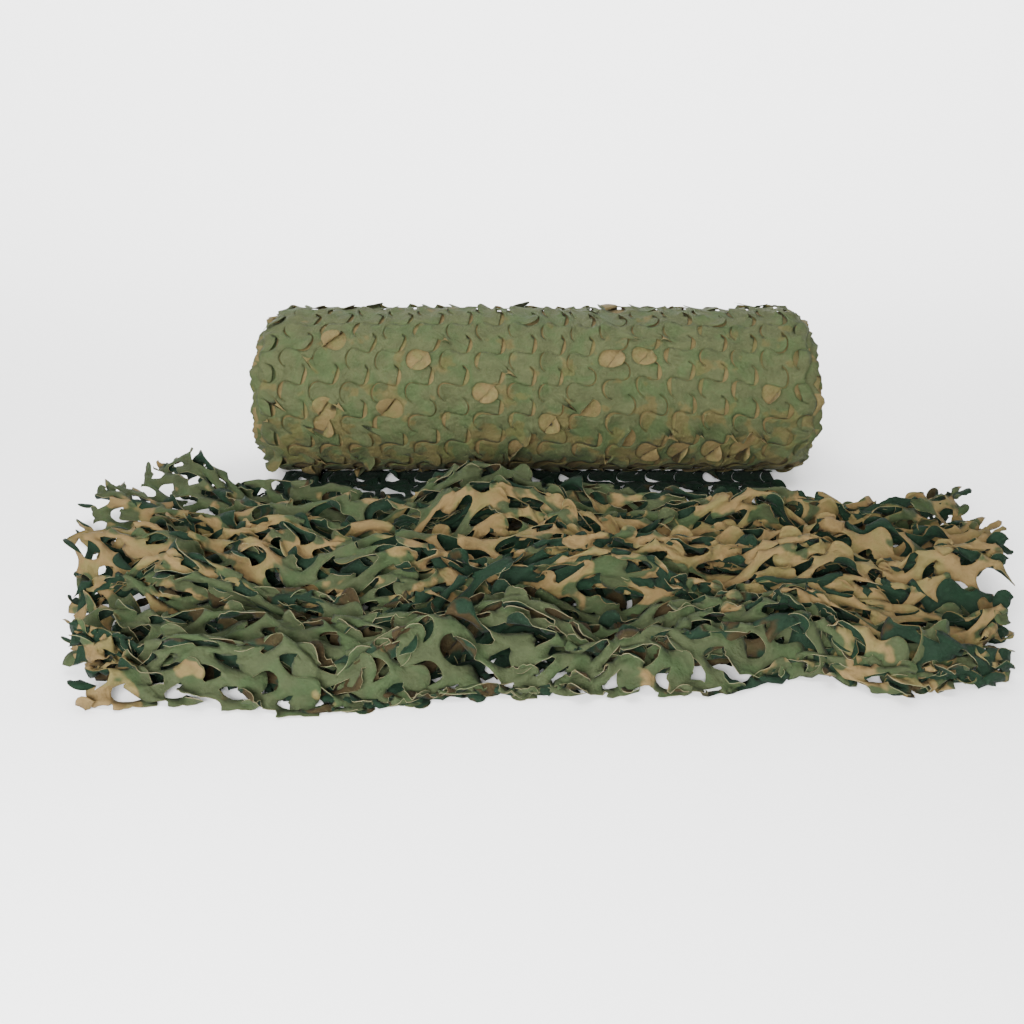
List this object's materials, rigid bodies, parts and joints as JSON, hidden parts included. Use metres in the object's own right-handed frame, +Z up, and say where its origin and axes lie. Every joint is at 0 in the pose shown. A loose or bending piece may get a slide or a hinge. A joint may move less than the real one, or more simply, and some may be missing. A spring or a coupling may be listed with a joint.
{
  "type": "roll of incised camouflage netting with its free end pulled out",
  "caption": "Bulk roll of cut-cloth camouflage netting lying on the floor, its free end drawn out from under it, opened sideways and lying in loose uneven folds.",
  "frame": {"origin": "middle of the flat spot that the roll rests on, at floor level", "axes": "+X along the roll's axis, +Y away from the free end, +Z up"},
  "size_m": [2.1992, 1.4758, 0.4478],
  "materials": {
    "olive_cloth": "matt printed cloth, olive green face",
    "brown_cloth": "matt printed cloth, tan and dark green patches"
  },
  "bodies": {
    "root": {"roll": "olive_cloth", "free_end": "brown_cloth"}
  },
  "joints": []
}
